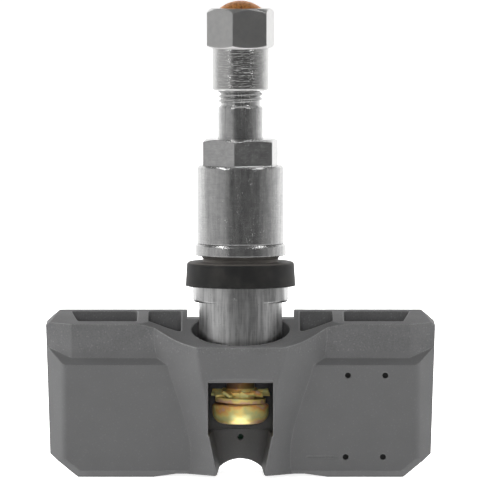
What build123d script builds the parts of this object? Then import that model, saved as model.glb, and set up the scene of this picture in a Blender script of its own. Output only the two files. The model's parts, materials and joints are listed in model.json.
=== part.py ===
from build123d import *
import math
import os

# Tyre pressure sensor with a clamp-in valve, in millimetres.
# The stem's axis is Z. The origin is the centre of the wheel's valve hole,
# on the plane where the wheel's inner face meets the grommet.
# The open side of the screw recess faces -Y.

os.makedirs("parts", exist_ok=True)

# General clearances
running_gap = 0.05
thread_gap = 0.1
swivel_gap = 0.15

# Housing, outside
housing_width = 67.0
housing_bottom = -36.9
housing_top = -9.0
housing_back = 11.0
top_corner_cut_x = 2.2
top_corner_cut_z = 1.9
bottom_corner_cut_x = 4.8
bottom_corner_cut_z = 3.9
side_lean = 0.75
panel_front = -4.4
panel_bevel_x = 3.1
panel_bevel_y = 3.7
panel_edge_radius = 1.6
upper_front = -3.0
upper_bevel_x = 4.5
upper_bevel_y = 2.25
upper_edge_radius = 0.4
panel_top = -17.6
roof_slope = 0.85
bottom_bevel = 1.1
top_slope = 6.4

# Boss in the middle of the housing
boss_front = -9.3
boss_half_width_top = 7.5
boss_half_width_roof = 7.1
boss_half_width_middle = 6.0
boss_half_width_bottom = 4.4
boss_middle_height = -23.0
boss_flank_top = 5.4
boss_flank_middle = 4.8
boss_flank_bottom = 4.5
boss_bottom_front = -8.7
boss_edge_radius = 1.3
dip_front = -14.2
dip_slope = 15.0
dip_half_width = 9.0
dip_end = 18.6
notch_half_width = 9.2
notch_level = -10.3
middle_rise = 0.6
middle_rise_half_width = 11.0
middle_rise_run = 4.0

# Stem foot and its cradle
pivot_height = -1.3
foot_ball_radius = 15.1
foot_radius = 7.15
foot_edge = 0.35
cradle_radius = 8.45
foot_flange_radius = 8.17
foot_flange_top = -4.15
foot_flange_bottom = -6.85
foot_bevel_x = 0.85
foot_bevel_z = 0.75
foot_ear_depth = 6.0

# Screw, its washers and the recess
screw_radius = 2.45
screw_head_radius = 4.87
screw_head_top = -24.5
screw_head_height = 3.4
screw_head_flat_radius = 3.1
screw_head_side = 1.43
screw_bowl_inset = 0.42
screw_bowl_lift = 0.75
screw_head_edge = 0.25
screw_point = 0.5
screw_length = 13.9
socket_depth = 1.8
socket_radius = 1.6
lobe_radius = 0.42
slot_width = 5.4
slot_length = 8.8
recess_half_width = 5.57
recess_top = -20.3
lip_rise_middle = 0.7
lip_rise_side = 0.45
lip_slope = 40.0
lip_depth = 1.4
recess_bottom = -29.4
recess_back = 7.4
mouth_overrun = 0.35
channel_top_half_width = 5.45
channel_bottom_half_width = 3.9
channel_flare = 0.5
arch_top = -34.5
arch_radius = 6.0
spring_washer_radius = 4.35
spring_washer_thickness = 0.8
spring_washer_tilt = 2.5
spring_washer_split = 0.6
tooth_ring_radius = 3.7
tooth_ring_thickness = 0.5
tooth_tip_radius = 5.0
tooth_count = 10
tooth_width = 1.5
tooth_thickness = 0.45
tooth_twist = -30.0
tooth_offset = 7.0

# Pockets on top of the wings
pocket_floor = -15.5
pocket_back_wall = 1.5
pocket_front = -0.5
outer_pocket_start = 17.8
outer_pocket_end_wall = 5.5
outer_pocket_slant = 1.3
inner_pocket_start = 10.2
inner_pocket_end = 15.9
inner_pocket_front = -1.4
pocket_corner = 0.6

# Cavity and rear cover
cavity_end_wall = 4.5
cavity_top = -17.6
cavity_bottom = -32.8
cavity_front = -2.4
cavity_inner_wall = 9.6
cover_thickness = 1.2
cover_ledge = 1.4
cover_gap = 0.1
board_thickness = 0.8
board_ledge = 0.7
board_back_gap = 0.3
board_edge_gap = 0.1
vent_slot_height = 2.0
vent_slot_depth = 0.5

# Small marks of the moulding
port_radius = 0.5
port_height = -30.8
pin_hole_radius = 0.5
pin_hole_depth = 1.0
pin_hole_spacing_x = 6.4
pin_hole_spacing_z = 14.05
pin_hole_centre_x = 21.45
pin_hole_slant = 0.2
pin_hole_centre_z = -26.35
gate_mark_length = 5.5
gate_mark_width = 0.35
gate_mark_depth = 0.12
gate_mark_x = 14.0
gate_mark_z = -33.4

# Stem above the foot
neck_radius = 5.55
nut_thread_radius = 5.5
nut_thread_root = 4.9
nut_thread_start = 2.2
nut_thread_end = 13.6
stem_taper = 1.4
shank_radius = 3.85
shank_top = 26.9
shank_chamfer = 0.35
cap_thread_radius = 3.85
cap_thread_root = 3.35
stem_top = 37.0
stem_mouth_chamfer = 0.4
air_way_radius = 1.3
air_way_bottom = -8.6
side_hole_radius = 1.0
side_hole_height = -8.0
screw_hole_gap = 0.4

# Valve core
core_chamber_radius = 2.6
core_chamber_bottom = 25.0
core_seat_height = 0.8
core_lower_radius = 2.2
core_lower_bottom = 20.5
core_plug_top = 35.8
core_plug_bottom = 31.0
core_plug_flat = 1.1
core_plug_neck = 2.4
core_barrel_bottom = 23.8
core_barrel_bore = 1.3
core_barrel_floor = 0.7
core_pin_radius = 0.45
core_pin_top = 36.5
core_pin_hole = 0.65
core_poppet_radius = 1.7
core_poppet_height = 1.1
core_collar_radius = 1.1
core_collar_height = 0.35
core_collar_top = 30.3
core_seal_bottom = 26.2
core_seal_height = 2.2
spring_wire_radius = 0.16
spring_wire_sides = 6
spring_turns = 5.0

# Grommet
grommet_radius_top = 9.2
grommet_radius_bottom = 9.45
grommet_edge = 0.55
grommet_neck_radius = 6.85
grommet_waist_radius = 6.45
grommet_waist_height = 0.5
grommet_neck_gap = 0.02

# Washer and nut on the stem
rim_washer_radius = 7.83
rim_washer_bottom = 1.15
rim_washer_thickness = 1.95
rim_washer_chamfer = 0.35
rim_washer_gap = 0.2
sleeve_radius = 7.4
sleeve_top = 16.55
sleeve_chamfer = 0.3
nut_across_flats = 12.0
nut_top = 21.15
nut_turned = 21.5

# Cap
cap_skirt_radius = 4.87
cap_skirt_bottom = 29.5
cap_skirt_chamfer = 0.25
cap_hex_bottom = 36.8
cap_hex_top = 43.6
cap_across_flats = 10.5
cap_turned = 17.3
cap_ceiling = 38.6
gasket_thickness = 1.45
gasket_hole_radius = 1.0
dome_radius = 3.6
dome_seat = 42.8
dome_height = 1.3
dome_tail_radius = 1.2
dome_tail_length = 1.8
hex_chamfer_slope = 0.45

# Electronics
cell_edge_gap = 0.1
cell_thickness = 3.2
cell_step = 0.35
tab_thickness = 0.25
tab_width = 4.0
chip_size = 6.0
chip_thickness = 1.2
chip_draft = 5.0
chip_inset = 3.8
chip_drop = 3.9
gauge_size = 5.0
gauge_thickness = 1.6
gauge_rise = 3.8
gauge_port_radius = 0.6
coil_length = 9.0
coil_side = 2.4
coil_core_side = 1.2
coil_end_thickness = 1.2
coil_flange_side = 3.4
coil_inset = 3.0
crystal_length = 3.2
crystal_width = 2.5
crystal_thickness = 0.8
crystal_inset = 6.6
crystal_drop = 1.4

# Sizes that follow from the ones above
half_width = housing_width / 2
clear = 20.0
outer_pocket_end = half_width - outer_pocket_end_wall
cavity_half_width = half_width - cavity_end_wall
board_front = housing_back - cover_thickness - board_back_gap - board_thickness
board_half_width = cavity_half_width + board_ledge - board_edge_gap
board_top = cavity_top + board_ledge - board_edge_gap
board_bottom = cavity_bottom - board_ledge + board_edge_gap
cavity_middle_z = (cavity_top + cavity_bottom) / 2
recess_centre = recess_back - recess_half_width
foot_side_bottom = pivot_height - math.sqrt(foot_ball_radius**2 - foot_radius**2)
cradle_ball_radius = foot_ball_radius + swivel_gap
cradle_side_bottom = pivot_height - math.sqrt(cradle_ball_radius**2 - cradle_radius**2)
rim_washer_top = rim_washer_bottom + rim_washer_thickness
sleeve_bottom = rim_washer_top + running_gap
top_fall = math.tan(math.radians(top_slope))
dip_angle = math.radians(dip_slope)
dip_level = dip_front + (upper_front - boss_front) * math.tan(dip_angle)
dip_rise = (housing_top - (housing_back - upper_front) * top_fall - dip_level) * math.cos(dip_angle)
cell_radius = (cavity_top - cavity_bottom) / 2 - cell_edge_gap
tab_reach = 3 * tab_thickness
cell_x = -(cavity_half_width + cavity_inner_wall + tab_reach) / 2
chip_x = cavity_inner_wall + chip_inset
chip_z = cavity_top - chip_drop
gauge_z = cavity_bottom + gauge_rise
coil_x = cavity_half_width - coil_inset
crystal_x = cavity_half_width - crystal_inset
crystal_z = cavity_top - crystal_drop


def front_plane(y):
    """Plane facing -Y at depth y, whose local axes are the model's X and Z."""
    return Plane(origin=(0, y, 0), x_dir=(1, 0, 0), z_dir=(0, -1, 0))


def side_plane(x):
    """Plane facing +X at x, whose local axes are the model's Y and Z."""
    return Plane(origin=(x, 0, 0), x_dir=(0, 1, 0), z_dir=(1, 0, 0))


def turned_profile():
    """Plane of a turned piece's half section: local X is the radius, local Y is Z."""
    return Plane.XZ


def finish(part, name):
    """Label a finished piece and write it out."""
    part.label = name
    export_step(part, f"parts/{name}.step")


# Housing
with BuildPart() as housing_outline:
    bevel_depth = panel_front + bottom_bevel
    outline = [
        (half_width - top_corner_cut_x, housing_top),
        (half_width, housing_top - top_corner_cut_z),
        (half_width - side_lean, housing_bottom + bottom_corner_cut_z),
        (half_width - side_lean - bottom_corner_cut_x, housing_bottom),
    ]
    mirrored = [(-x, z) for x, z in reversed(outline)]
    with BuildSketch(front_plane(housing_back)):
        with BuildLine():
            Polyline(outline + mirrored, close=True)
        make_face()
    extrude(amount=housing_back - bevel_depth)
    with BuildSketch(front_plane(bevel_depth)):
        with BuildLine():
            Polyline(outline + mirrored, close=True)
        make_face()
    extrude(amount=bottom_bevel, taper=45)

with BuildPart() as boss:
    sections = [
        (housing_top, boss_half_width_top, boss_flank_top, boss_front),
        (panel_top, boss_half_width_roof, boss_flank_top, boss_front),
        (boss_middle_height, boss_half_width_middle, boss_flank_middle, boss_front),
        (housing_bottom, boss_half_width_bottom, boss_flank_bottom, boss_bottom_front),
    ]
    for height, half, flank, front in sections:
        foot = half + flank * (upper_front - front) / (panel_front - front)
        with BuildSketch(Plane.XY.offset(height)):
            with BuildLine():
                Polyline((-half, front), (half, front), (foot, upper_front),
                         (foot, cavity_front), (-foot, cavity_front), (-foot, upper_front), close=True)
            make_face()
            fillet(vertices().group_by(Axis.Y)[0], boss_edge_radius)
    loft()

with BuildPart() as sensor_housing:
    # The lower body with its bevelled sides, under a sloping roof
    with BuildSketch(Plane.XY.offset(housing_bottom)):
        with BuildLine():
            Polyline((-half_width, housing_back), (-half_width, panel_front + panel_bevel_y),
                     (-half_width + panel_bevel_x, panel_front), (half_width - panel_bevel_x, panel_front),
                     (half_width, panel_front + panel_bevel_y), (half_width, housing_back), close=True)
        make_face()
        fillet(vertices().group_by(Axis.Y)[0], panel_edge_radius)
    extrude(amount=housing_top - housing_bottom)
    with BuildSketch(side_plane(-half_width)):
        roof_run = housing_back - panel_front
        with BuildLine():
            Polyline((panel_front, panel_top), (housing_back, panel_top + roof_slope * roof_run),
                     (panel_front - clear, housing_top + clear),
                     (panel_front - clear, panel_top), close=True)
        make_face()
    extrude(amount=housing_width, mode=Mode.SUBTRACT)
    # The upper body, set back from the panels
    with BuildSketch(Plane.XY.offset(housing_bottom)):
        with BuildLine():
            Polyline((-half_width, housing_back), (-half_width, upper_front + upper_bevel_y),
                     (-half_width + upper_bevel_x, upper_front), (half_width - upper_bevel_x, upper_front),
                     (half_width, upper_front + upper_bevel_y), (half_width, housing_back), close=True)
        make_face()
        fillet(vertices().group_by(Axis.Y)[0], upper_edge_radius)
    extrude(amount=housing_top - housing_bottom)
    add(housing_outline.part, mode=Mode.INTERSECT)
    add(boss.part)

    # The top slopes down to the front, and dips for the stem's foot
    with BuildSketch(side_plane(-half_width)):
        front_clear = boss_front - running_gap - clear
        with BuildLine():
            Polyline((housing_back, housing_top), (front_clear, housing_top - (housing_back - front_clear) * top_fall),
                     (front_clear, housing_top + clear), (housing_back, housing_top + clear), close=True)
        make_face()
    extrude(amount=housing_width, mode=Mode.SUBTRACT)
    dip_plane = Plane(origin=(0, boss_front, dip_front), x_dir=(1, 0, 0),
                      z_dir=(0, -math.cos(dip_angle), -math.sin(dip_angle)))
    with BuildSketch(dip_plane):
        with BuildLine():
            flat = Line((-dip_half_width, 0), (dip_half_width, 0))
            level = (1, 0)
            right = Spline(flat @ 1, (dip_end, dip_rise), tangents=(level, level))
            outer = half_width + running_gap
            Polyline(right @ 1, (outer, dip_rise), (outer, clear), (-outer, clear), (-outer, dip_rise),
                     (-dip_end, dip_rise))
            Spline((-dip_end, dip_rise), flat @ 0, tangents=(level, level))
        make_face()
    extrude(amount=-2 * clear, both=True, mode=Mode.SUBTRACT)
    with BuildSketch(Plane.XY.offset(notch_level)):
        with Locations((0, housing_back / 2)):
            Rectangle(2 * notch_half_width, housing_back)
    extrude(amount=clear, mode=Mode.SUBTRACT)

    # The bottom is raised in the middle
    with BuildSketch(front_plane(housing_back)):
        with BuildLine():
            rise_outer = middle_rise_half_width + middle_rise_run
            Polyline((-rise_outer, housing_bottom), (-middle_rise_half_width, housing_bottom + middle_rise),
                     (middle_rise_half_width, housing_bottom + middle_rise), (rise_outer, housing_bottom),
                     close=True)
        make_face()
    extrude(amount=housing_back - boss_front, mode=Mode.SUBTRACT)

    # The cradle: a round bore over a spherical floor, and the slot for the screw
    with BuildSketch(turned_profile()):
        with BuildLine():
            side = Line((cradle_radius, 0), (cradle_radius, cradle_side_bottom))
            floor = RadiusArc(side @ 1, (0, pivot_height - cradle_ball_radius), cradle_ball_radius)
            Polyline(floor @ 1, (0, 0), side @ 0)
        make_face()
    revolve(axis=Axis.Z, mode=Mode.SUBTRACT)
    with BuildSketch(Plane.XY.offset(recess_top)):
        SlotOverall(slot_length, slot_width, rotation=90)
    extrude(amount=cradle_side_bottom - recess_top, mode=Mode.SUBTRACT)

    # The recess for the screw's head, and the driver's way up to it
    recess_mouth = boss_front - mouth_overrun
    recess_run = recess_centre - recess_mouth
    with BuildSketch(Plane.XY.offset(recess_bottom)):
        with Locations((0, recess_centre)):
            Circle(recess_half_width)
        with Locations((0, recess_centre - recess_run / 2)):
            Rectangle(2 * recess_half_width, recess_run)
    extrude(amount=recess_top - recess_bottom, mode=Mode.SUBTRACT)
    for height, half in [(recess_bottom, channel_top_half_width), (housing_bottom, channel_bottom_half_width)]:
        with BuildSketch(Plane.XY.offset(height)):
            with BuildLine():
                back = half - channel_flare
                round_back = CenterArc((0, recess_centre), back, 0, 180)
                Polyline(round_back @ 1, (-half, recess_mouth), (half, recess_mouth), round_back @ 0)
            make_face()
    loft(mode=Mode.SUBTRACT)
    with BuildSketch(front_plane(housing_back)):
        with Locations((0, arch_top - arch_radius)):
            Circle(arch_radius)
    extrude(amount=housing_back - boss_front, mode=Mode.SUBTRACT)

    # An arched lip that slopes in over the recess's mouth
    lip_angle = math.radians(lip_slope)
    lip_plane = Plane(origin=(0, boss_front, recess_top), x_dir=(1, 0, 0),
                      z_dir=(0, -math.cos(lip_angle), math.sin(lip_angle)))
    with BuildSketch(lip_plane):
        with BuildLine():
            lip_side = lip_rise_side * math.cos(lip_angle)
            lip = ThreePointArc((-recess_half_width, lip_side), (0, lip_rise_middle * math.cos(lip_angle)),
                                (recess_half_width, lip_side))
            Polyline(lip @ 1, (recess_half_width, -lip_side), (-recess_half_width, -lip_side), lip @ 0)
        make_face()
    extrude(amount=-lip_depth, both=True, mode=Mode.SUBTRACT)

    # Open pockets that lighten the wings
    pocket_back = housing_back - pocket_back_wall
    for hand in (-1, 1):
        with BuildSketch(Plane.XY.offset(pocket_floor)):
            with BuildLine():
                Polyline((hand * outer_pocket_start, pocket_front), (hand * outer_pocket_end, pocket_front),
                         (hand * (outer_pocket_end + outer_pocket_slant), pocket_back),
                         (hand * outer_pocket_start, pocket_back), close=True)
            make_face()
            with BuildLine():
                Polyline((hand * inner_pocket_start, inner_pocket_front), (hand * inner_pocket_end, pocket_front),
                         (hand * inner_pocket_end, pocket_back), (hand * inner_pocket_start, pocket_back),
                         close=True)
            make_face()
            fillet(vertices(), pocket_corner)
        extrude(amount=clear, mode=Mode.SUBTRACT)

    # The cavity, its ledges for the board and the cover, and the vent slot
    for hand in (-1, 1):
        with BuildSketch(front_plane(board_front)):
            with Locations((hand * (cavity_half_width + cavity_inner_wall) / 2, cavity_middle_z)):
                Rectangle(cavity_half_width - cavity_inner_wall, cavity_top - cavity_bottom)
        extrude(amount=board_front - cavity_front, mode=Mode.SUBTRACT)
    with BuildSketch(front_plane(housing_back)):
        with Locations((0, cavity_middle_z)):
            Rectangle(2 * (cavity_half_width + board_ledge), cavity_top - cavity_bottom + 2 * board_ledge)
    extrude(amount=housing_back - board_front, mode=Mode.SUBTRACT)
    with BuildSketch(front_plane(housing_back)):
        with Locations((0, cavity_middle_z)):
            Rectangle(2 * (cavity_half_width + cover_ledge), cavity_top - cavity_bottom + 2 * cover_ledge)
    extrude(amount=cover_thickness, mode=Mode.SUBTRACT)
    with BuildSketch(front_plane(board_front)):
        with Locations((0, port_height)):
            Rectangle(2 * cavity_inner_wall, vent_slot_height)
    extrude(amount=vent_slot_depth, mode=Mode.SUBTRACT)

    # The pressure port, the four blind pin holes and the gate mark
    with BuildSketch(front_plane(board_front)):
        with Locations((0, port_height)):
            Circle(port_radius)
    extrude(amount=board_front, mode=Mode.SUBTRACT)
    with BuildSketch(front_plane(panel_front)):
        for row in (-1, 1):
            row_x = pin_hole_centre_x + row * pin_hole_slant
            with Locations((row_x, pin_hole_centre_z + row * pin_hole_spacing_z / 2)):
                with GridLocations(pin_hole_spacing_x, 0, 2, 1):
                    Circle(pin_hole_radius)
    extrude(amount=-pin_hole_depth, mode=Mode.SUBTRACT)
    with BuildSketch(front_plane(panel_front)):
        with Locations((gate_mark_x, gate_mark_z)):
            SlotOverall(gate_mark_length, gate_mark_width)
    extrude(amount=-gate_mark_depth, mode=Mode.SUBTRACT)

finish(sensor_housing.part, "sensor_housing")


# Rear cover, with its outer edge eased
with BuildPart() as rear_cover:
    with BuildSketch(front_plane(housing_back)):
        with Locations((0, cavity_middle_z)):
            RectangleRounded(2 * (cavity_half_width + cover_ledge - cover_gap),
                             cavity_top - cavity_bottom + 2 * (cover_ledge - cover_gap), cover_gap)
    extrude(amount=cover_thickness)
    outer_rim = rear_cover.faces().sort_by(Axis.Y)[-1].edges()
    chamfer(outer_rim, cover_gap)
finish(rear_cover.part, "rear_cover")

# Circuit board
with BuildPart() as circuit_board:
    with BuildSketch(front_plane(board_front + board_thickness)):
        with Locations((0, (board_top + board_bottom) / 2)):
            RectangleRounded(2 * board_half_width, board_top - board_bottom, board_edge_gap)
    extrude(amount=board_thickness)
finish(circuit_board.part, "circuit_board")

# Coin cell and the two tabs welded to it
cell_rear = board_front - tab_thickness
cell_front = cell_rear - cell_thickness
with BuildPart() as coin_cell:
    with BuildSketch(front_plane(cell_rear)):
        with Locations((cell_x, cavity_middle_z)):
            Circle(cell_radius)
    extrude(amount=cell_thickness)
    with BuildSketch(front_plane(cell_rear)):
        with Locations((cell_x, cavity_middle_z)):
            Circle(cell_radius)
            Circle(cell_radius - 2 * cell_step, mode=Mode.SUBTRACT)
    extrude(amount=cell_step, mode=Mode.SUBTRACT)
finish(coin_cell.part, "coin_cell")

tab_end_x = cell_x + cell_radius + tab_reach - tab_thickness
with BuildPart() as cell_tab_front:
    with BuildSketch(Plane.XY.offset(cavity_middle_z - tab_width / 2)):
        with BuildLine():
            Polyline((cell_x, cell_front), (cell_x, cell_front - tab_thickness),
                     (tab_end_x + tab_thickness, cell_front - tab_thickness),
                     (tab_end_x + tab_thickness, board_front), (tab_end_x, board_front),
                     (tab_end_x, cell_front), close=True)
        make_face()
    extrude(amount=tab_width)
finish(cell_tab_front.part, "cell_tab_front")

with BuildPart() as cell_tab_rear:
    with BuildSketch(front_plane(board_front)):
        with Locations((cell_x, cavity_middle_z)):
            RectangleRounded(cell_radius, tab_width, tab_thickness)
    extrude(amount=tab_thickness)
finish(cell_tab_rear.part, "cell_tab_rear")

# Chips, coil and crystal on the board
with BuildPart() as radio_chip:
    with BuildSketch(front_plane(board_front)):
        with Locations((chip_x, chip_z)):
            Rectangle(chip_size, chip_size)
    extrude(amount=chip_thickness, taper=chip_draft)
finish(radio_chip.part, "radio_chip")

with BuildPart() as pressure_chip:
    with BuildSketch(front_plane(board_front)):
        with Locations((chip_x, gauge_z)):
            Rectangle(gauge_size, gauge_size)
    extrude(amount=gauge_thickness, taper=chip_draft)
    with BuildSketch(front_plane(board_front - gauge_thickness)):
        with Locations((chip_x, gauge_z)):
            Circle(gauge_port_radius)
    extrude(amount=-gauge_thickness / 2, mode=Mode.SUBTRACT)
finish(pressure_chip.part, "pressure_chip")

coil_y = board_front - coil_flange_side / 2
with BuildPart() as coil_core:
    with BuildSketch(Plane.XY.offset(cavity_middle_z - coil_length / 2)):
        with Locations((coil_x, coil_y)):
            Rectangle(coil_core_side, coil_core_side)
    extrude(amount=coil_length)
    for end in (cavity_middle_z - coil_length / 2, cavity_middle_z + coil_length / 2 - coil_end_thickness):
        with BuildSketch(Plane.XY.offset(end)):
            with Locations((coil_x, coil_y)):
                Rectangle(coil_flange_side, coil_flange_side)
        extrude(amount=coil_end_thickness)
finish(coil_core.part, "coil_core")

with BuildPart() as coil_winding:
    with BuildSketch(Plane.XY.offset(cavity_middle_z - coil_length / 2 + coil_end_thickness)):
        with Locations((coil_x, coil_y)):
            RectangleRounded(coil_side, coil_side, coil_side / 6)
            Rectangle(coil_core_side, coil_core_side, mode=Mode.SUBTRACT)
    extrude(amount=coil_length - 2 * coil_end_thickness)
finish(coil_winding.part, "coil_winding")

with BuildPart() as crystal:
    with BuildSketch(front_plane(board_front)):
        with Locations((crystal_x, crystal_z)):
            RectangleRounded(crystal_length, crystal_width, crystal_thickness / 2)
    extrude(amount=crystal_thickness)
finish(crystal.part, "crystal")

# Valve stem: rounded foot, flange, threads and shank, bored for the core
screw_tip = screw_head_top + screw_length
screw_hole_top = screw_tip + screw_hole_gap
screw_hole_radius = screw_radius + running_gap
with BuildPart() as foot_ears:
    with BuildSketch(turned_profile()):
        with BuildLine():
            Polyline((neck_radius, foot_flange_bottom), (foot_flange_radius - foot_bevel_x, foot_flange_bottom),
                     (foot_flange_radius, foot_flange_bottom + foot_bevel_z),
                     (foot_flange_radius, foot_flange_top), (neck_radius, foot_flange_top), close=True)
        make_face()
    revolve(axis=Axis.Z)
    with BuildSketch(Plane.XY.offset(foot_flange_bottom)):
        Rectangle(2 * foot_flange_radius, foot_ear_depth)
    extrude(amount=foot_flange_top - foot_flange_bottom, mode=Mode.INTERSECT)

with BuildPart() as valve_stem:
    with BuildSketch(turned_profile()):
        with BuildLine():
            foot_floor = -math.sqrt(foot_ball_radius**2 - screw_hole_radius**2) + pivot_height
            ball = RadiusArc((screw_hole_radius, foot_floor), (foot_radius, foot_side_bottom), -foot_ball_radius)
            Polyline(
                ball @ 1,
                (foot_radius, foot_flange_top),
                (neck_radius, foot_flange_top),
                (neck_radius, nut_thread_start),
                (nut_thread_root, nut_thread_start),
                (nut_thread_root, nut_thread_end),
                (shank_radius, nut_thread_end + stem_taper),
                (shank_radius, shank_top - shank_chamfer),
                (shank_radius - shank_chamfer, shank_top),
                (cap_thread_root, shank_top),
                (cap_thread_root, stem_top - stem_mouth_chamfer),
                (cap_thread_root - stem_mouth_chamfer, stem_top),
                (core_chamber_radius, stem_top),
                (core_chamber_radius, core_chamber_bottom),
                (core_lower_radius, core_chamber_bottom - core_seat_height),
                (core_lower_radius, core_lower_bottom),
                (air_way_radius, core_lower_bottom),
                (air_way_radius, air_way_bottom),
                (0, air_way_bottom),
                (0, screw_hole_top),
                (screw_hole_radius, screw_hole_top),
                ball @ 0,
            )
        make_face()
    revolve(axis=Axis.Z)
    foot_rims = valve_stem.edges().filter_by(GeomType.CIRCLE).filter_by(
        lambda edge: abs(edge.radius - foot_radius) < running_gap)
    chamfer(foot_rims.sort_by(Axis.Z)[0], foot_edge)
    add(foot_ears.part)
    with BuildSketch(front_plane(foot_radius + running_gap)):
        with Locations((0, side_hole_height)):
            Circle(side_hole_radius)
    extrude(amount=foot_radius, mode=Mode.SUBTRACT)
finish(valve_stem.part, "valve_stem")

# Valve core: plug, barrel, seal, pin and spring
core_plug_radius = core_chamber_radius - running_gap
with BuildPart() as core_plug:
    with BuildSketch(turned_profile()):
        with BuildLine():
            Polyline((core_pin_hole, core_plug_bottom), (core_plug_radius, core_plug_bottom),
                     (core_plug_radius, core_plug_top - core_plug_neck),
                     (core_plug_flat, core_plug_top - core_plug_neck / 2),
                     (core_plug_flat, core_plug_top), (core_pin_hole, core_plug_top), close=True)
        make_face()
    revolve(axis=Axis.Z)
finish(core_plug.part, "core_plug")

core_barrel_radius = core_lower_radius - thread_gap
core_barrel_inner_floor = core_barrel_bottom + core_barrel_floor
core_barrel_top = core_plug_bottom - running_gap
with BuildPart() as core_barrel:
    with BuildSketch(turned_profile()):
        with BuildLine():
            Polyline((core_pin_hole, core_barrel_bottom), (core_barrel_radius, core_barrel_bottom),
                     (core_barrel_radius, core_barrel_top), (core_barrel_bore, core_barrel_top),
                     (core_barrel_bore, core_barrel_inner_floor), (core_pin_hole, core_barrel_inner_floor),
                     close=True)
        make_face()
    revolve(axis=Axis.Z)
finish(core_barrel.part, "core_barrel")

with BuildPart() as core_seal:
    with BuildSketch(turned_profile()):
        with BuildLine():
            inner = core_barrel_radius + running_gap / 2
            outer = core_chamber_radius - running_gap / 2
            Polyline((inner, core_seal_bottom), (outer - running_gap, core_seal_bottom),
                     (outer, core_seal_bottom + core_seal_height), (inner, core_seal_bottom + core_seal_height),
                     close=True)
        make_face()
    revolve(axis=Axis.Z)
finish(core_seal.part, "core_seal")

poppet_top = core_barrel_bottom - running_gap
collar_bottom = core_collar_top - core_collar_height
with BuildPart() as core_pin:
    with BuildSketch(turned_profile()):
        with BuildLine():
            Polyline((0, poppet_top - core_poppet_height),
                     (core_poppet_radius, poppet_top - core_poppet_height),
                     (core_poppet_radius, poppet_top), (core_pin_radius, poppet_top),
                     (core_pin_radius, collar_bottom), (core_collar_radius, collar_bottom),
                     (core_collar_radius, core_collar_top), (core_pin_radius, core_collar_top),
                     (core_pin_radius, core_pin_top), (0, core_pin_top), close=True)
        make_face()
    revolve(axis=Axis.Z)
finish(core_pin.part, "core_pin")

spring_bottom = core_barrel_inner_floor + spring_wire_radius + running_gap
spring_height = collar_bottom - running_gap - spring_wire_radius - spring_bottom
spring_radius = (core_pin_radius + core_barrel_bore) / 2
with BuildPart() as core_spring:
    with BuildLine():
        coil = Helix(spring_height / spring_turns, spring_height, spring_radius, center=(0, 0, spring_bottom))
    with BuildSketch(Plane(coil @ 0, z_dir=coil % 0)):
        RegularPolygon(spring_wire_radius, spring_wire_sides)
    sweep(is_frenet=True)
finish(core_spring.part, "core_spring")

# Rubber grommet
with BuildPart() as rim_grommet:
    grommet_bottom = foot_flange_top + running_gap / 2
    grommet_bore = neck_radius + running_gap / 2
    grommet_neck_top = rim_washer_bottom - grommet_neck_gap
    with BuildSketch(turned_profile()):
        with BuildLine():
            Polyline((grommet_bore, grommet_bottom), (grommet_radius_bottom, grommet_bottom),
                     (grommet_radius_top, 0), (grommet_waist_radius, 0),
                     (grommet_waist_radius, grommet_waist_height),
                     (grommet_neck_radius, grommet_neck_top), (grommet_bore, grommet_neck_top),
                     close=True)
        make_face()
    revolve(axis=Axis.Z)
    outer_edges = rim_grommet.edges().filter_by(GeomType.CIRCLE).sort_by(SortBy.LENGTH)
    fillet(outer_edges[-2], grommet_edge)
finish(rim_grommet.part, "rim_grommet")

# Washer under the nut
rim_washer_bore = nut_thread_radius + rim_washer_gap
with BuildPart() as rim_washer:
    with BuildSketch(turned_profile()):
        with BuildLine():
            Polyline((rim_washer_bore, rim_washer_bottom), (rim_washer_radius, rim_washer_bottom),
                     (rim_washer_radius, rim_washer_top - rim_washer_chamfer),
                     (rim_washer_radius - rim_washer_chamfer, rim_washer_top),
                     (rim_washer_bore, rim_washer_top), close=True)
        make_face()
    revolve(axis=Axis.Z)
finish(rim_washer.part, "rim_washer")

# Clamping nut: a hexagon on a long round sleeve
with BuildPart() as clamp_nut:
    nut_bore = nut_thread_radius + thread_gap
    nut_mouth = shank_radius + thread_gap
    nut_corner = nut_across_flats / math.sqrt(3)
    nut_cone = nut_thread_end + stem_taper / 2
    with BuildSketch(Plane.XY.offset(sleeve_top)):
        RegularPolygon(nut_corner, 6, rotation=nut_turned)
    extrude(amount=nut_top - sleeve_top)
    with BuildSketch(turned_profile()):
        with BuildLine():
            rise = (nut_corner - nut_across_flats / 2 + thread_gap) * hex_chamfer_slope
            Polyline((0, sleeve_top), (nut_corner + thread_gap, sleeve_top),
                     (nut_corner + thread_gap, nut_top - rise - thread_gap / 2),
                     (nut_across_flats / 2 - thread_gap, nut_top), (0, nut_top), close=True)
        make_face()
    revolve(axis=Axis.Z, mode=Mode.INTERSECT)
    with BuildSketch(turned_profile()):
        with BuildLine():
            Polyline((0, sleeve_bottom), (sleeve_radius, sleeve_bottom),
                     (sleeve_radius, sleeve_top - sleeve_chamfer), (sleeve_radius - sleeve_chamfer, sleeve_top),
                     (0, sleeve_top), close=True)
        make_face()
    revolve(axis=Axis.Z)
    with BuildSketch(turned_profile()):
        with BuildLine():
            Polyline((0, sleeve_bottom - clear), (nut_bore, sleeve_bottom - clear), (nut_bore, nut_cone),
                     (nut_mouth, nut_cone + stem_taper), (nut_mouth, nut_top + clear), (0, nut_top + clear),
                     close=True)
        make_face()
    revolve(axis=Axis.Z, mode=Mode.SUBTRACT)
finish(clamp_nut.part, "clamp_nut")

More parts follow.
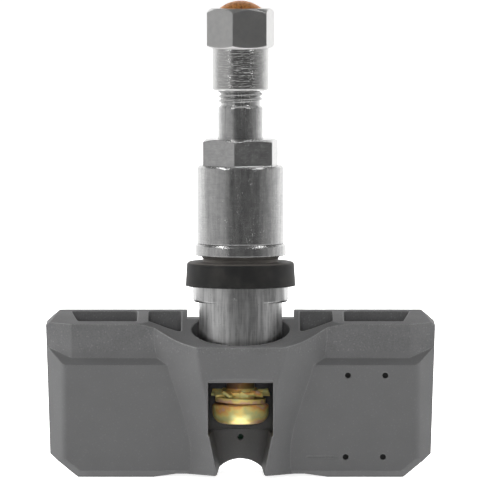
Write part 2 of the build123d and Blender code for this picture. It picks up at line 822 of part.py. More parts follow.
# Cap: a hexagon on a round skirt, with a seal inside and a dome on top
cap_bore = cap_thread_radius + thread_gap
with BuildPart() as cap_shell:
    cap_corner = cap_across_flats / math.sqrt(3)
    with BuildSketch(Plane.XY.offset(cap_hex_bottom)):
        RegularPolygon(cap_corner, 6, rotation=cap_turned)
    extrude(amount=cap_hex_top - cap_hex_bottom)
    with BuildSketch(turned_profile()):
        with BuildLine():
            rise = (cap_corner - cap_across_flats / 2) * hex_chamfer_slope
            Polyline((0, cap_hex_bottom), (cap_across_flats / 2, cap_hex_bottom),
                     (cap_corner, cap_hex_bottom + rise), (cap_corner, cap_hex_top - 2 * rise),
                     (cap_across_flats / 2 - thread_gap, cap_hex_top), (0, cap_hex_top), close=True)
        make_face()
    revolve(axis=Axis.Z, mode=Mode.INTERSECT)
    with BuildSketch(turned_profile()):
        with BuildLine():
            Polyline((0, cap_skirt_bottom), (cap_skirt_radius - cap_skirt_chamfer, cap_skirt_bottom),
                     (cap_skirt_radius, cap_skirt_bottom + cap_skirt_chamfer),
                     (cap_skirt_radius, cap_hex_bottom), (0, cap_hex_bottom), close=True)
        make_face()
    revolve(axis=Axis.Z)
    with BuildSketch(turned_profile()):
        with BuildLine():
            Polyline((0, cap_skirt_bottom), (cap_bore, cap_skirt_bottom), (cap_bore, cap_ceiling),
                     (dome_tail_radius + running_gap / 2, cap_ceiling),
                     (dome_tail_radius + running_gap / 2, dome_seat),
                     (dome_radius + running_gap / 2, dome_seat),
                     (dome_radius + running_gap / 2, cap_hex_top), (0, cap_hex_top), close=True)
        make_face()
    revolve(axis=Axis.Z, mode=Mode.SUBTRACT)
finish(cap_shell.part, "cap_shell")

with BuildPart() as cap_dome:
    dome_ball_radius = (dome_radius**2 + dome_height**2) / (2 * dome_height)
    with BuildSketch(turned_profile()):
        with BuildLine():
            crown = RadiusArc((dome_radius, cap_hex_top), (0, cap_hex_top + dome_height), -dome_ball_radius)
            Polyline(crown @ 1, (0, dome_seat - dome_tail_length), (dome_tail_radius, dome_seat - dome_tail_length),
                     (dome_tail_radius, dome_seat), (dome_radius, dome_seat), crown @ 0)
        make_face()
    revolve(axis=Axis.Z)
finish(cap_dome.part, "cap_dome")

with BuildPart() as cap_gasket:
    gasket_bottom = stem_top + running_gap
    with BuildSketch(Plane.XY.offset(gasket_bottom)):
        Circle(cap_bore - thread_gap)
        Circle(gasket_hole_radius, mode=Mode.SUBTRACT)
    extrude(amount=gasket_thickness)
finish(cap_gasket.part, "cap_gasket")

# Screw with a rounded head and a six-lobe socket, open downwards
head_bottom = screw_head_top - screw_head_height
with BuildPart() as stem_screw:
    with BuildSketch(turned_profile()):
        with BuildLine():
            bowl = ThreePointArc(
                (screw_head_flat_radius, head_bottom),
                (screw_head_radius - screw_bowl_inset, head_bottom + screw_bowl_lift),
                (screw_head_radius, screw_head_top - screw_head_side),
            )
            Polyline(bowl @ 1, (screw_head_radius, screw_head_top - screw_head_edge),
                     (screw_head_radius - screw_head_edge, screw_head_top), (screw_radius, screw_head_top),
                     (screw_radius, screw_tip - screw_point), (screw_radius - screw_point, screw_tip),
                     (0, screw_tip), (0, head_bottom), bowl @ 0)
        make_face()
    revolve(axis=Axis.Z)
    with BuildSketch(Plane.XY.offset(head_bottom)):
        Circle(socket_radius)
        with PolarLocations(socket_radius, 6):
            Circle(lobe_radius)
    extrude(amount=socket_depth, mode=Mode.SUBTRACT)
finish(stem_screw.part, "stem_screw")

# Split spring washer on the screw's head, slightly askew
spring_washer_half = spring_washer_thickness / 2
spring_washer_rise = spring_washer_radius * math.sin(math.radians(spring_washer_tilt))
spring_washer_middle = screw_head_top + running_gap + spring_washer_rise + spring_washer_half
spring_washer_plane = Plane(origin=(0, 0, spring_washer_middle)).rotated((0, spring_washer_tilt, 0))
with BuildPart() as spring_washer:
    with BuildSketch(spring_washer_plane.offset(-spring_washer_half)):
        Circle(spring_washer_radius)
        Circle(screw_radius + thread_gap, mode=Mode.SUBTRACT)
        with Locations((0, spring_washer_radius / 2)):
            Rectangle(spring_washer_split, spring_washer_radius, mode=Mode.SUBTRACT)
    extrude(amount=spring_washer_thickness)
finish(spring_washer.part, "spring_washer")

# Tooth washer: a flat ring with twisted outer teeth
tooth_drop = (tooth_width * math.sin(math.radians(abs(tooth_twist))) + tooth_thickness) / 2
tooth_washer_middle = spring_washer_middle + spring_washer_half + spring_washer_rise + running_gap + tooth_drop
with BuildPart() as tooth_washer:
    with BuildSketch(Plane.XY.offset(tooth_washer_middle - tooth_ring_thickness / 2)):
        Circle(tooth_ring_radius)
        Circle(screw_radius + thread_gap, mode=Mode.SUBTRACT)
    extrude(amount=tooth_ring_thickness)
    for index in range(tooth_count):
        bearing = 360 / tooth_count * (index + 0.5) + tooth_offset
        root = Plane(origin=(0, 0, tooth_washer_middle)).rotated((0, 0, bearing))
        blade = Plane(origin=root.from_local_coords((tooth_ring_radius - tooth_ring_thickness, 0, 0)),
                      x_dir=root.y_dir, z_dir=root.x_dir)
        with BuildSketch(blade):
            Rectangle(tooth_width, tooth_thickness, rotation=tooth_twist)
        extrude(amount=tooth_tip_radius - tooth_ring_radius + tooth_ring_thickness)
finish(tooth_washer.part, "tooth_washer")
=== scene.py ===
import json
import math

import bpy
import numpy as np
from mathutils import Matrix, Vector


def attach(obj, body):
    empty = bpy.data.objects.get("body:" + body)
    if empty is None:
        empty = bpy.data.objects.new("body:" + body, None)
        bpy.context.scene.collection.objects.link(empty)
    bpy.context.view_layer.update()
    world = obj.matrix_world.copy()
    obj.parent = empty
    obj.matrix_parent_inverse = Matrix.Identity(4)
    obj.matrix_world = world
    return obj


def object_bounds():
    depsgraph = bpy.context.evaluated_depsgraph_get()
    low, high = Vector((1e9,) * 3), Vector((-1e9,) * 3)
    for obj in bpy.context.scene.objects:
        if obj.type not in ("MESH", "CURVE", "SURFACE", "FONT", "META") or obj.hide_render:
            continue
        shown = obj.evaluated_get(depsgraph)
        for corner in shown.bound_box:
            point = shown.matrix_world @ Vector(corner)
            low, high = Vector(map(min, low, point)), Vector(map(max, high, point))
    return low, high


# Tyre pressure sensor with a clamp-in valve: its finishes, threads, rounded foot and studio

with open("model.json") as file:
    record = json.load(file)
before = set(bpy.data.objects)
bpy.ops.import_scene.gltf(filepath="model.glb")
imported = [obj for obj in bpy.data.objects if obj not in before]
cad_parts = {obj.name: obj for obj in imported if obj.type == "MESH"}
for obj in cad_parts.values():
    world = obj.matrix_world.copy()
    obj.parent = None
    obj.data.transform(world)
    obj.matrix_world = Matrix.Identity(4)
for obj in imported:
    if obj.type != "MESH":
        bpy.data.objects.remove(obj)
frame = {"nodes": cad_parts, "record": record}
cad_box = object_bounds()
nodes = frame["nodes"]

MM = 0.001

# Camera: a long lens, aimed at the part's middle and looking slightly down
VIEW_DISTANCE = 1.5
VIEW_WIDTH = 82.56 * MM
VIEW_CENTRE_X = -0.09 * MM
VIEW_CENTRE_Z = 3.7 * MM
VIEW_SLOPE = math.radians(3.5)

# Valve thread and nut thread, which the solids carry as plain root cylinders
VALVE_PITCH = 0.794 * MM
VALVE_ROOT = 3.35 * MM
VALVE_CREST = 3.85 * MM
VALVE_THREAD_START = 27.25 * MM
VALVE_THREAD_END = 36.6 * MM
NUT_PITCH = 1.0 * MM
NUT_ROOT = 4.9 * MM
NUT_CREST = 5.5 * MM
NUT_THREAD_START = 2.9 * MM
NUT_THREAD_END = 13.2 * MM

# A thread's ridge: half its width at the foot and at the crest, in pitches, how deep it sinks into the
# root and how much of it is left at its ends, in ridge heights, and the sections in one turn
RIDGE_FOOT = 0.46
RIDGE_CREST = 0.09
RIDGE_SINK = 0.08
RIDGE_END = 0.02
RIDGE_STEPS = 64

# Foot flange: two lobes that round off the foot's square ears
LOBE_REACH = 8.19 * MM
LOBE_ROOT = 7.12 * MM
LOBE_INSIDE = 6.4 * MM
LOBE_TOP = -4.13 * MM
LOBE_BOTTOM = -6.87 * MM
LOBE_BEVEL = 0.3 * MM
LOBE_END_BEVEL = 0.15
LOBE_FULL_ANGLE = math.radians(22)
LOBE_END_ANGLE = math.radians(60)
LOBE_SHARP_ANGLE = math.radians(25)
LOBE_STEPS = 97

# Heights of the smooth hexagons: the nut's from its sleeve up, and the cap's from its skirt up
NUT_HEX_START = 16.6 * MM
NUT_HEX_END = 21.2 * MM
CAP_HEX_START = 36.8 * MM

# Heights where a finish changes: the housing's ledge, the grommet's rim where painted light begins, the
# teeth's top where painted shade begins, the foot's top
LEDGE_HEIGHT = -15.6 * MM
GROMMET_RIM = -0.3 * MM
TEETH_TOP = -22.0 * MM
FOOT_TOP = -4.1 * MM

# The four pin holes in the right panel: the block of space that holds them, just behind the panel's face
PIN_HOLES_LEFT = 17.2 * MM
PIN_HOLES_RIGHT = 25.6 * MM
PIN_HOLES_FRONT = -4.35 * MM
PIN_HOLES_BACK = -3.3 * MM
PIN_HOLES_BOTTOM = -34.4 * MM
PIN_HOLES_TOP = -18.4 * MM

# Rounded edges: how far the edges of plastic and of metal are rounded off, and the shader's samples for it.
# The plastic's painted edge highlight spans the same width.
PLASTIC_EDGE = 0.45 * MM
METAL_EDGE = 0.3 * MM
EDGE_SAMPLES = 6

# Spacing of the zinc's colour bands, of the board's tracks and of the coil's turns
ZINC_BAND = 3.846 * MM
TRACK_SPACING = 1.963 * MM
WIRE_SPACING = 0.12 * MM

# Studio floor: how far it reaches each way from the part, in metres, and the squares along its side
FLOOR_REACH = 3.0
FLOOR_SQUARES = 8

# Studio walls: how bright they are at each bearing, in degrees from the front, positive to the right
WALLS = [(-180, 0.95), (-128, 0.72), (-100, 0.36), (-53, 0.27), (-41, 0.24), (-31, 0.07), (0, 0.06),
         (30, 0.06), (48, 0.08), (67, 0.15), (97, 0.33), (128, 0.7), (155, 0.88), (180, 0.95)]
WALL_STRENGTH = 1.4


class Value:
    """A number in a material. Its operators add Math nodes, so shader maths reads as an expression."""

    def __init__(self, finish, socket):
        self.finish = finish
        self.socket = socket

    def math(self, operation, *others):
        return self.finish.math(operation, self, *others)

    def __add__(self, other):
        return self.math("ADD", other)

    def __sub__(self, other):
        return self.math("SUBTRACT", other)

    def __mul__(self, other):
        return self.math("MULTIPLY", other)

    def __truediv__(self, other):
        return self.math("DIVIDE", other)

    def __pow__(self, other):
        return self.math("POWER", other)

    def __neg__(self):
        return self.math("MULTIPLY", -1.0)

    def __radd__(self, other):
        return self.finish.math("ADD", other, self)

    def __rsub__(self, other):
        return self.finish.math("SUBTRACT", other, self)

    def __rmul__(self, other):
        return self.finish.math("MULTIPLY", other, self)

    def __rtruediv__(self, other):
        return self.finish.math("DIVIDE", other, self)

    def sine(self):
        return self.math("SINE")

    def above(self, low, high):
        """0 under low, 1 over high, and a smooth step between them."""
        step = self.finish.node("ShaderNodeMapRange", {"interpolation_type": "SMOOTHSTEP"},
                                {"Value": self, "From Min": low, "From Max": high})
        return Value(self.finish, step.outputs["Result"])

    def between(self, low, high, soft):
        """1 between low and high and 0 elsewhere, with a smooth step of width soft past each of them."""
        return self.above(low, low + soft) * (1 - self.above(high, high + soft))

    def spread(self, gain):
        """Its distance from a half times a gain, set on a half again."""
        return (self - 0.5) * gain + 0.5


class Finish:
    """A node tree being filled: node() adds any node, and the other methods name the usual ones."""

    def __init__(self, tree):
        self.tree = tree
        self.tree.nodes.clear()

    def node(self, kind, settings=None, sockets=None):
        """Add a node of a kind, set its settings, then fill its sockets with numbers, colours or links."""
        node = self.tree.nodes.new(kind)
        for name, setting in (settings or {}).items():
            if name == "stops":
                self.set_stops(node.color_ramp, setting)
            else:
                setattr(node, name, setting)
        for name, content in (sockets or {}).items():
            if isinstance(content, Value):
                content = content.socket
            if isinstance(content, bpy.types.NodeSocket):
                self.tree.links.new(content, node.inputs[name])
            else:
                node.inputs[name].default_value = content
        return node

    def set_stops(self, ramp, stops):
        while len(ramp.elements) < len(stops):
            ramp.elements.new(0.5)
        for element, (place, colour) in zip(ramp.elements, stops):
            element.position = place
            element.color = (*colour, 1)

    def math(self, operation, *terms):
        node = self.node("ShaderNodeMath", {"operation": operation}, dict(enumerate(terms)))
        return Value(self, node.outputs[0])

    def place(self):
        """The point's own place on its piece, in metres."""
        return self.node("ShaderNodeTexCoord").outputs["Object"]

    def parts(self, vector):
        """The three numbers of a vector."""
        split = self.node("ShaderNodeSeparateXYZ", None, {"Vector": vector})
        return [Value(self, split.outputs[axis]) for axis in "XYZ"]

    def height(self, place):
        """How high a place is over the plane of the wheel's inner face."""
        return self.parts(place)[2]

    def joined(self, x, y, z):
        """A vector from three numbers."""
        return self.node("ShaderNodeCombineXYZ", None, {"X": x, "Y": y, "Z": z}).outputs["Vector"]

    def noise(self, vector, size, detail=2.0, roughness=0.5):
        """Noise whose blobs are about size across."""
        node = self.node("ShaderNodeTexNoise", None,
                         {"Vector": vector, "Scale": 1 / size, "Detail": detail, "Roughness": roughness})
        return Value(self, node.outputs["Fac"])

    def cells(self, vector, size):
        """Distance to the middle of the nearest cell, for cells about size across."""
        node = self.node("ShaderNodeTexVoronoi", None, {"Vector": vector, "Scale": 1 / size})
        return Value(self, node.outputs["Distance"])

    def blend(self, share, first, second):
        """The first colour where the share is 0, and the second where it is 1."""
        node = self.node("ShaderNodeMix", {"data_type": "RGBA"}, {"Factor": share})
        for socket, colour in ((node.inputs[6], first), (node.inputs[7], second)):
            if isinstance(colour, bpy.types.NodeSocket):
                self.tree.links.new(colour, socket)
            else:
                socket.default_value = (*colour, 1)
        return node.outputs[2]

    def ramp(self, share, stops):
        """The colour at a share along a row of stops, each a place from 0 to 1 and its colour."""
        return self.node("ShaderNodeValToRGB", {"stops": stops}, {"Fac": share}).outputs["Color"]

    def relief(self, height, depth, strength=1.0, under=None):
        """Surface normal of a relief, whose height runs from 0 to 1 over a real depth."""
        sockets = {"Height": height, "Distance": depth, "Strength": strength}
        if under is not None:
            sockets["Normal"] = under
        return self.node("ShaderNodeBump", None, sockets).outputs["Normal"]

    def rounded(self, radius):
        """Surface normal rounded off within a radius of each edge."""
        return self.node("ShaderNodeBevel", {"samples": EDGE_SAMPLES}, {"Radius": radius}).outputs["Normal"]

    def edge(self, rounded):
        """How near an edge is, 0 to 1: how far the rounded normal turns away from the plain one."""
        flat = self.node("ShaderNodeNewGeometry").outputs["Normal"]
        match = self.node("ShaderNodeVectorMath", {"operation": "DOT_PRODUCT"}, {0: rounded, 1: flat})
        return (1 - Value(self, match.outputs["Value"])).above(0.01, 0.16)


def surface_finish(name, build, **uniform):
    """A material: build fills the maps that vary, and uniform sets the shader's own sockets."""
    material = bpy.data.materials.new(name)
    material.use_nodes = True
    finish = Finish(material.node_tree)
    maps = build(finish)
    sockets = {key.replace("_", " "): value for key, value in uniform.items()}
    shader = finish.node("ShaderNodeBsdfPrincipled", None, {**sockets, **maps})
    finish.node("ShaderNodeOutputMaterial", None, {"Surface": shader.outputs["BSDF"]})
    return material


def grey(level):
    """A colour with the same red, green and blue."""
    return (level, level, level)


# Finishes
def pin_holes(finish, place):
    """1 inside the four pin holes of the right panel, and 0 on the rest of the housing: the mask of their
    painted shade.
    """
    soft = 0.3 * MM
    x, y, z = finish.parts(place)
    beside = x.between(PIN_HOLES_LEFT, PIN_HOLES_RIGHT, soft)
    deep = y.between(PIN_HOLES_FRONT, PIN_HOLES_BACK, soft)
    return beside * deep * z.between(PIN_HOLES_BOTTOM, PIN_HOLES_TOP, soft)


def moulded_plastic(finish):
    """Grey glass-filled plastic: spark-eroded grain, coarser above the ledge, a faint flow mottle, painted
    highlights along the edges and painted shade in the pin holes.
    """
    dark, light = (0.042, 0.042, 0.043), (0.079, 0.079, 0.0795)
    glass_fleck, painted_edge_highlight, painted_hole_shade = grey(0.18), grey(0.26), grey(0.012)
    place = finish.place()
    coarse = finish.height(place).above(LEDGE_HEIGHT, LEDGE_HEIGHT + 0.4 * MM) * 0.6 + 0.4
    mottle = finish.noise(place, 4 * MM, detail=3)
    grain = finish.noise(place, 0.22 * MM, detail=3, roughness=0.7)
    fleck = 1 - finish.cells(place, 0.6 * MM).above(0.12, 0.26)
    rounded = finish.rounded(PLASTIC_EDGE)
    edge = finish.edge(rounded)
    tone = (mottle * 0.3 + grain * 0.7).spread(coarse * 2.2)
    colour = finish.blend(tone, dark, light)
    colour = finish.blend(fleck * mottle * coarse * 0.4, colour, glass_fleck)
    # Painted highlight: edges are painted lighter, patchy with the grain, as light caught on rounded edges.
    colour = finish.blend(edge * grain * (coarse * 0.6 + 0.1), colour, painted_edge_highlight)
    # Painted shade: the pin holes, cut in the solid, are painted near black.
    colour = finish.blend(pin_holes(finish, place), colour, painted_hole_shade)
    relief = grain * coarse + mottle * 0.2
    return {"Base Color": colour,
            "Roughness": 0.5 + grain * 0.16 - mottle * 0.06,
            "Normal": finish.relief(relief, depth=0.05 * MM, strength=0.6, under=rounded)}


def turned_rings(finish, place, size):
    """Tool marks that run round a turned piece: noise stretched 25 times across Z."""
    x, y, z = finish.parts(place)
    return finish.noise(finish.joined(x / 25, y / 25, z), size, detail=3, roughness=0.7)


def round_streaks(finish, place, width, length):
    """Streaks along a turned piece: noise that changes with the angle round Z.

    Each streak is about width radians across and length high. A hair is added to the distance from Z,
    so that nothing is divided by nought on the axis.
    """
    x, y, z = finish.parts(place)
    reach = (x * x + y * y) ** 0.5 + 0.01 * MM
    wrapped = finish.joined(x / reach, y / reach, z * (width / length))
    return finish.noise(wrapped, width, detail=3, roughness=0.6)


def aluminium(finish, under):
    """Maps of turned, nickel-bright aluminium over a surface normal.

    It has fine rings, upright streaks, soft clouding and sparse pits. The nut's flats have no streaks.
    The foot is duller, and some of its streaks are bright.
    """
    dark, light = (0.5, 0.5, 0.505), (0.76, 0.76, 0.75)
    bright_streak, pit_shade = grey(0.95), grey(0.3)
    place = finish.place()
    z = finish.height(place)
    foot = 1 - z.above(FOOT_TOP - 0.1 * MM, FOOT_TOP)
    flats = z.between(NUT_HEX_START, NUT_HEX_END, 0.2 * MM)
    rings = turned_rings(finish, place, 0.11 * MM)
    cloud = finish.noise(place, 1.2 * MM, detail=4, roughness=0.65)
    pit = 1 - finish.cells(place, 0.5 * MM).above(0.1, 0.2)
    pits = pit * finish.noise(place, 1.1 * MM).above(0.46, 0.62)
    streaks = round_streaks(finish, place, 0.1, 8.33 * MM).spread(1 - flats)
    tone = (cloud * 0.3 + rings * 0.25 + streaks * 0.45).above(0.3, 0.7)
    colour = finish.blend(tone, dark, light)
    colour = finish.blend(foot * streaks.above(0.4, 0.65) * 0.7, colour, bright_streak)
    relief = rings * 0.5 + cloud * 0.3 - pits
    return {"Base Color": finish.blend(pits * 0.6, colour, pit_shade),
            "Roughness": 0.16 + foot * 0.07 + streaks * 0.12 + cloud * 0.06,
            "Normal": finish.relief(relief, depth=0.028 * MM, strength=0.7, under=under)}


def turned_metal(finish):
    """Turned aluminium with its edges broken."""
    return aluminium(finish, finish.rounded(METAL_EDGE))


def thread_metal(finish):
    """Turned aluminium of the threads, whose edges stay sharp."""
    return aluminium(finish, None)


def brushed_metal(finish):
    """Nickel-plated cap: rings and ripples round the skirt, smooth flats above, and a faint cloud."""
    dark, light = (0.58, 0.58, 0.58), (0.74, 0.735, 0.72)
    place = finish.place()
    x, y, z = finish.parts(place)
    skirt = 1 - z.above(CAP_HEX_START - 0.4 * MM, CAP_HEX_START)
    rings = turned_rings(finish, place, 0.3 * MM)
    ripple = finish.noise(finish.joined(x, y, z * 3), 1.2 * MM, detail=3, roughness=0.6)
    cloud = finish.noise(place, 1.1 * MM, detail=3)
    relief = (rings + ripple) * skirt * 0.5 + cloud * 0.1
    return {"Base Color": finish.blend(cloud, dark, light),
            "Roughness": 0.26 - skirt * 0.14 + cloud * 0.06,
            "Normal": finish.relief(relief, depth=0.14 * MM, strength=0.9, under=finish.rounded(METAL_EDGE))}


def copper_crown(finish):
    """Rough copper-coloured crown: orange metal with dark pits between small bumps."""
    brown, orange, pit_shade = (0.4, 0.14, 0.035), (0.76, 0.35, 0.11), (0.1, 0.04, 0.02)
    place = finish.place()
    bumps = finish.noise(place, 0.5 * MM, detail=3, roughness=0.6)
    pits = 1 - finish.noise(place, 0.35 * MM, detail=3, roughness=0.7).above(0.36, 0.5)
    colour = finish.blend(bumps.above(0.3, 0.7), brown, orange)
    return {"Base Color": finish.blend(pits * 0.85, colour, pit_shade),
            "Roughness": 0.34 + pits * 0.3,
            "Normal": finish.relief(bumps - pits * 0.6, depth=0.08 * MM, strength=0.6)}


def moulded_rubber(finish):
    """Black rubber: dull skin, soft bloom in brownish patches, fine mould texture, and painted light that
    makes the top rim paler, patchy with the bloom.
    """
    black, brownish, pale = (0.005, 0.005, 0.005), (0.013, 0.0122, 0.011), (0.05, 0.046, 0.042)
    place = finish.place()
    bloom = finish.noise(place, 3.5 * MM, detail=4, roughness=0.6)
    grain = finish.noise(place, 0.12 * MM)
    rings = turned_rings(finish, place, 0.3 * MM)
    rim = finish.height(place).above(GROMMET_RIM, GROMMET_RIM + 0.2 * MM)
    colour = finish.blend(bloom.above(0.4, 0.8), black, brownish)
    # Painted light: the grommet's top rim is painted paler, as if lit from above, patchy with the bloom.
    return {"Base Color": finish.blend(rim * (0.5 + bloom * 0.5), colour, pale),
            "Roughness": 0.42 + bloom * 0.25,
            "Normal": finish.relief(grain * 0.5 + rings * 0.5, depth=0.03 * MM, strength=0.4)}


def yellow_zinc(finish):
    """Yellow zinc plating: drifting bands of yellow, green, orange and pink, and painted shade in dark brown
    above the teeth.
    """
    yellow, green = (0.86, 0.66, 0.22), (0.62, 0.62, 0.28)
    orange, pink, brown = (0.86, 0.45, 0.14), (0.74, 0.46, 0.34), (0.09, 0.045, 0.02)
    place = finish.place()
    z = finish.height(place)
    drift = finish.noise(place, 2.6 * MM)
    haze = finish.noise(place, 0.8 * MM, detail=3)
    tint = (z / ZINC_BAND + drift * 1.5 + haze * 0.35 + 0.2).math("FRACT")
    colour = finish.ramp(tint, [(0.0, yellow), (0.25, green), (0.45, yellow),
                                (0.65, orange), (0.8, pink), (1.0, yellow)])
    # Painted shade: the shank above the teeth, under the housing, is painted dark brown.
    return {"Base Color": finish.blend(z.above(TEETH_TOP, TEETH_TOP + 0.3 * MM) * 0.85, colour, brown),
            "Roughness": 0.3 + haze * 0.14,
            "Normal": finish.relief(haze, depth=0.02 * MM, strength=0.4)}


def turned_brass(finish):
    """Turned brass with fine rings."""
    dark, light = (0.62, 0.42, 0.16), (0.78, 0.58, 0.28)
    place = finish.place()
    rings = turned_rings(finish, place, 0.08 * MM)
    cloud = finish.noise(place, 0.9 * MM)
    return {"Base Color": finish.blend(cloud, dark, light),
            "Roughness": 0.22 + rings * 0.14,
            "Normal": finish.relief(rings, depth=0.008 * MM, strength=0.6)}


def drawn_steel(finish):
    """Drawn or rolled steel: lengthwise streaks and a faint cloud."""
    dark, light = (0.5, 0.5, 0.49), (0.66, 0.65, 0.63)
    place = finish.place()
    x, y, z = finish.parts(place)
    streaks = finish.noise(finish.joined(x / 10, y, z), 0.1 * MM, detail=3)
    cloud = finish.noise(place, 2 * MM)
    return {"Base Color": finish.blend(cloud, dark, light),
            "Roughness": 0.24 + streaks * 0.16,
            "Normal": finish.relief(streaks, depth=0.006 * MM, strength=0.6)}


def solder_mask(finish):
    """Green solder mask over level copper tracks, on the board, partly darkened by painted shade."""
    # Painted shade: both colours are darker than the mask's own green, so the board reads as shade through
    # the pressure hole.
    dark, green = (0.002, 0.012, 0.006), (0.008, 0.045, 0.016)
    place = finish.place()
    wander = finish.noise(place, 3 * MM)
    wave = finish.height(place) * (2 * math.pi / TRACK_SPACING) + wander * 6
    track = wave.sine().above(0.2, 0.7)
    return {"Base Color": finish.blend(track, dark, green),
            "Roughness": 0.25 + wander * 0.15,
            "Normal": finish.relief(track, depth=0.03 * MM, strength=0.7)}


def dark_compound(finish):
    """Black moulding compound or ferrite: matt, with a sandy grain."""
    black, dark = (0.01, 0.01, 0.011), (0.045, 0.045, 0.047)
    place = finish.place()
    grain = finish.noise(place, 0.1 * MM, detail=3, roughness=0.7)
    cloud = finish.noise(place, 1.5 * MM)
    return {"Base Color": finish.blend(grain * 0.6 + cloud * 0.4, black, dark),
            "Roughness": 0.5 + grain * 0.25,
            "Normal": finish.relief(grain, depth=0.02 * MM, strength=0.6)}


def wound_wire(finish):
    """Enamelled copper wire in close turns round Z, with painted shade between the turns."""
    painted_gap_shade, copper = (0.25, 0.08, 0.025), (0.72, 0.34, 0.12)
    place = finish.place()
    turns = (finish.height(place) * (2 * math.pi / WIRE_SPACING)).sine() * 0.5 + 0.5
    cloud = finish.noise(place, 0.7 * MM)
    # Painted shade: the brown between the turns stands for shade in the grooves of the winding.
    return {"Base Color": finish.blend(turns * 0.7 + cloud * 0.3, painted_gap_shade, copper),
            "Roughness": 0.22 + cloud * 0.15,
            "Normal": finish.relief(turns, depth=0.06 * MM)}


def pale_board(finish):
    """Matt, barely uneven board of the studio floor. It gives off light, and more to the camera's eye."""
    cloud = finish.noise(finish.place(), 60 * MM, detail=3)
    seen = finish.node("ShaderNodeLightPath").outputs["Is Camera Ray"]
    return {"Base Color": finish.blend(cloud, grey(0.93), grey(0.95)),
            "Roughness": 0.8 + cloud * 0.1,
            "Emission Color": finish.blend(seen, grey(0.5), grey(0.8))}


FINISHES = {
    "housing_plastic": surface_finish("moulded_plastic", moulded_plastic, Specular_IOR_Level=0.35),
    "turned_metal": surface_finish("turned_metal", turned_metal, Metallic=1.0),
    "thread_metal": surface_finish("thread_metal", thread_metal, Metallic=1.0),
    "cap_metal": surface_finish("brushed_metal", brushed_metal, Metallic=1.0),
    "copper_dome": surface_finish("copper_crown", copper_crown, Metallic=0.85),
    "rubber": surface_finish("moulded_rubber", moulded_rubber, Specular_IOR_Level=0.35),
    "yellow_zinc": surface_finish("yellow_zinc", yellow_zinc, Metallic=0.72),
    "brass": surface_finish("turned_brass", turned_brass, Metallic=1.0),
    "spring_steel": surface_finish("drawn_steel", drawn_steel, Metallic=1.0),
    "board": surface_finish("solder_mask", solder_mask, Specular_IOR_Level=0.5),
    "chip_plastic": surface_finish("dark_compound", dark_compound),
    "copper_wire": surface_finish("wound_wire", wound_wire, Metallic=1.0),
}
FINISHES["cell_steel"] = FINISHES["spring_steel"]
FINISHES["ferrite"] = FINISHES["chip_plastic"]


def dress(name, finish):
    """Give a node of the frame its finish."""
    node = nodes[name]
    if not node.material_slots:
        node.data.materials.append(finish)
    for slot in node.material_slots:
        slot.material = finish


for subpart in frame["record"]["subparts"]:
    dress(subpart["node"], FINISHES[subpart["material_slot"]])
# The cap is nickel-plated, unlike the other turned pieces
dress("cap_shell", FINISHES["cap_metal"])


# New pieces
def mesh_object(name, points, faces, finish):
    """An object in the scene, from a grid of points and a list of faces, with one finish."""
    mesh = bpy.data.meshes.new(name)
    mesh.from_pydata(points.reshape(-1, 3).tolist(), [], faces)
    mesh.materials.append(finish)
    piece = bpy.data.objects.new(name, mesh)
    bpy.context.scene.collection.objects.link(piece)
    return piece


def stem_band(name, radius, angle, height, finish):
    """A closed band round Z that rides on the stem.

    Each row of radius and height is one section of the band, turned to its own angle. Its corners lie
    at radius * cosine of the angle, radius * sine of the angle, and height. Quads join each section to
    the next, and the first and last sections are closed by a face of their own.
    """
    points = np.stack([radius * np.cos(angle), radius * np.sin(angle), height], axis=-1)
    steps, corners = radius.shape
    row = np.arange(steps - 1)[:, None] * corners
    column = np.arange(corners)[None, :]
    after = (column + 1) % corners
    quads = np.stack([row + column, row + corners + column, row + corners + after, row + after], axis=-1)
    first = np.arange(corners)
    last = (steps - 1) * corners + first[::-1]
    faces = quads.reshape(-1, 4).tolist() + [first.tolist(), last.tolist()]
    piece = mesh_object(name, points, faces, finish)
    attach(piece, "stem")
    return piece


def thread_ridge(name, root, crest, pitch, start, end):
    """A screw thread's ridge as a closed band wound along a helix.

    The angle a grows along the ridge, and the height is start + pitch * a / one turn. Across it, a
    closed section of six corners stands on the root: it sinks a little under the root, rises along two
    flanks to a narrow crest, and its height fades to almost nothing over the first and last half turn.
    """
    turns = (end - start) / pitch
    angle = np.linspace(0, turns * 2 * np.pi, int(turns * RIDGE_STEPS))[:, None]
    fade = np.clip(np.minimum(angle, angle[-1] - angle) / np.pi, RIDGE_END, 1)
    across = np.array([-RIDGE_FOOT, -RIDGE_CREST, RIDGE_CREST, RIDGE_FOOT, RIDGE_FOOT, -RIDGE_FOOT])
    rise = np.array([0, 1, 1, 0, 0, 0])
    under = np.array([0, 0, 0, 0, 1, 1])
    radius = root + (crest - root) * (rise * fade - RIDGE_SINK * under)
    height = start + pitch * (angle / (2 * np.pi) + across)
    ridge = stem_band(name, radius, angle, height, FINISHES["thread_metal"])
    ridge.data.shade_flat()


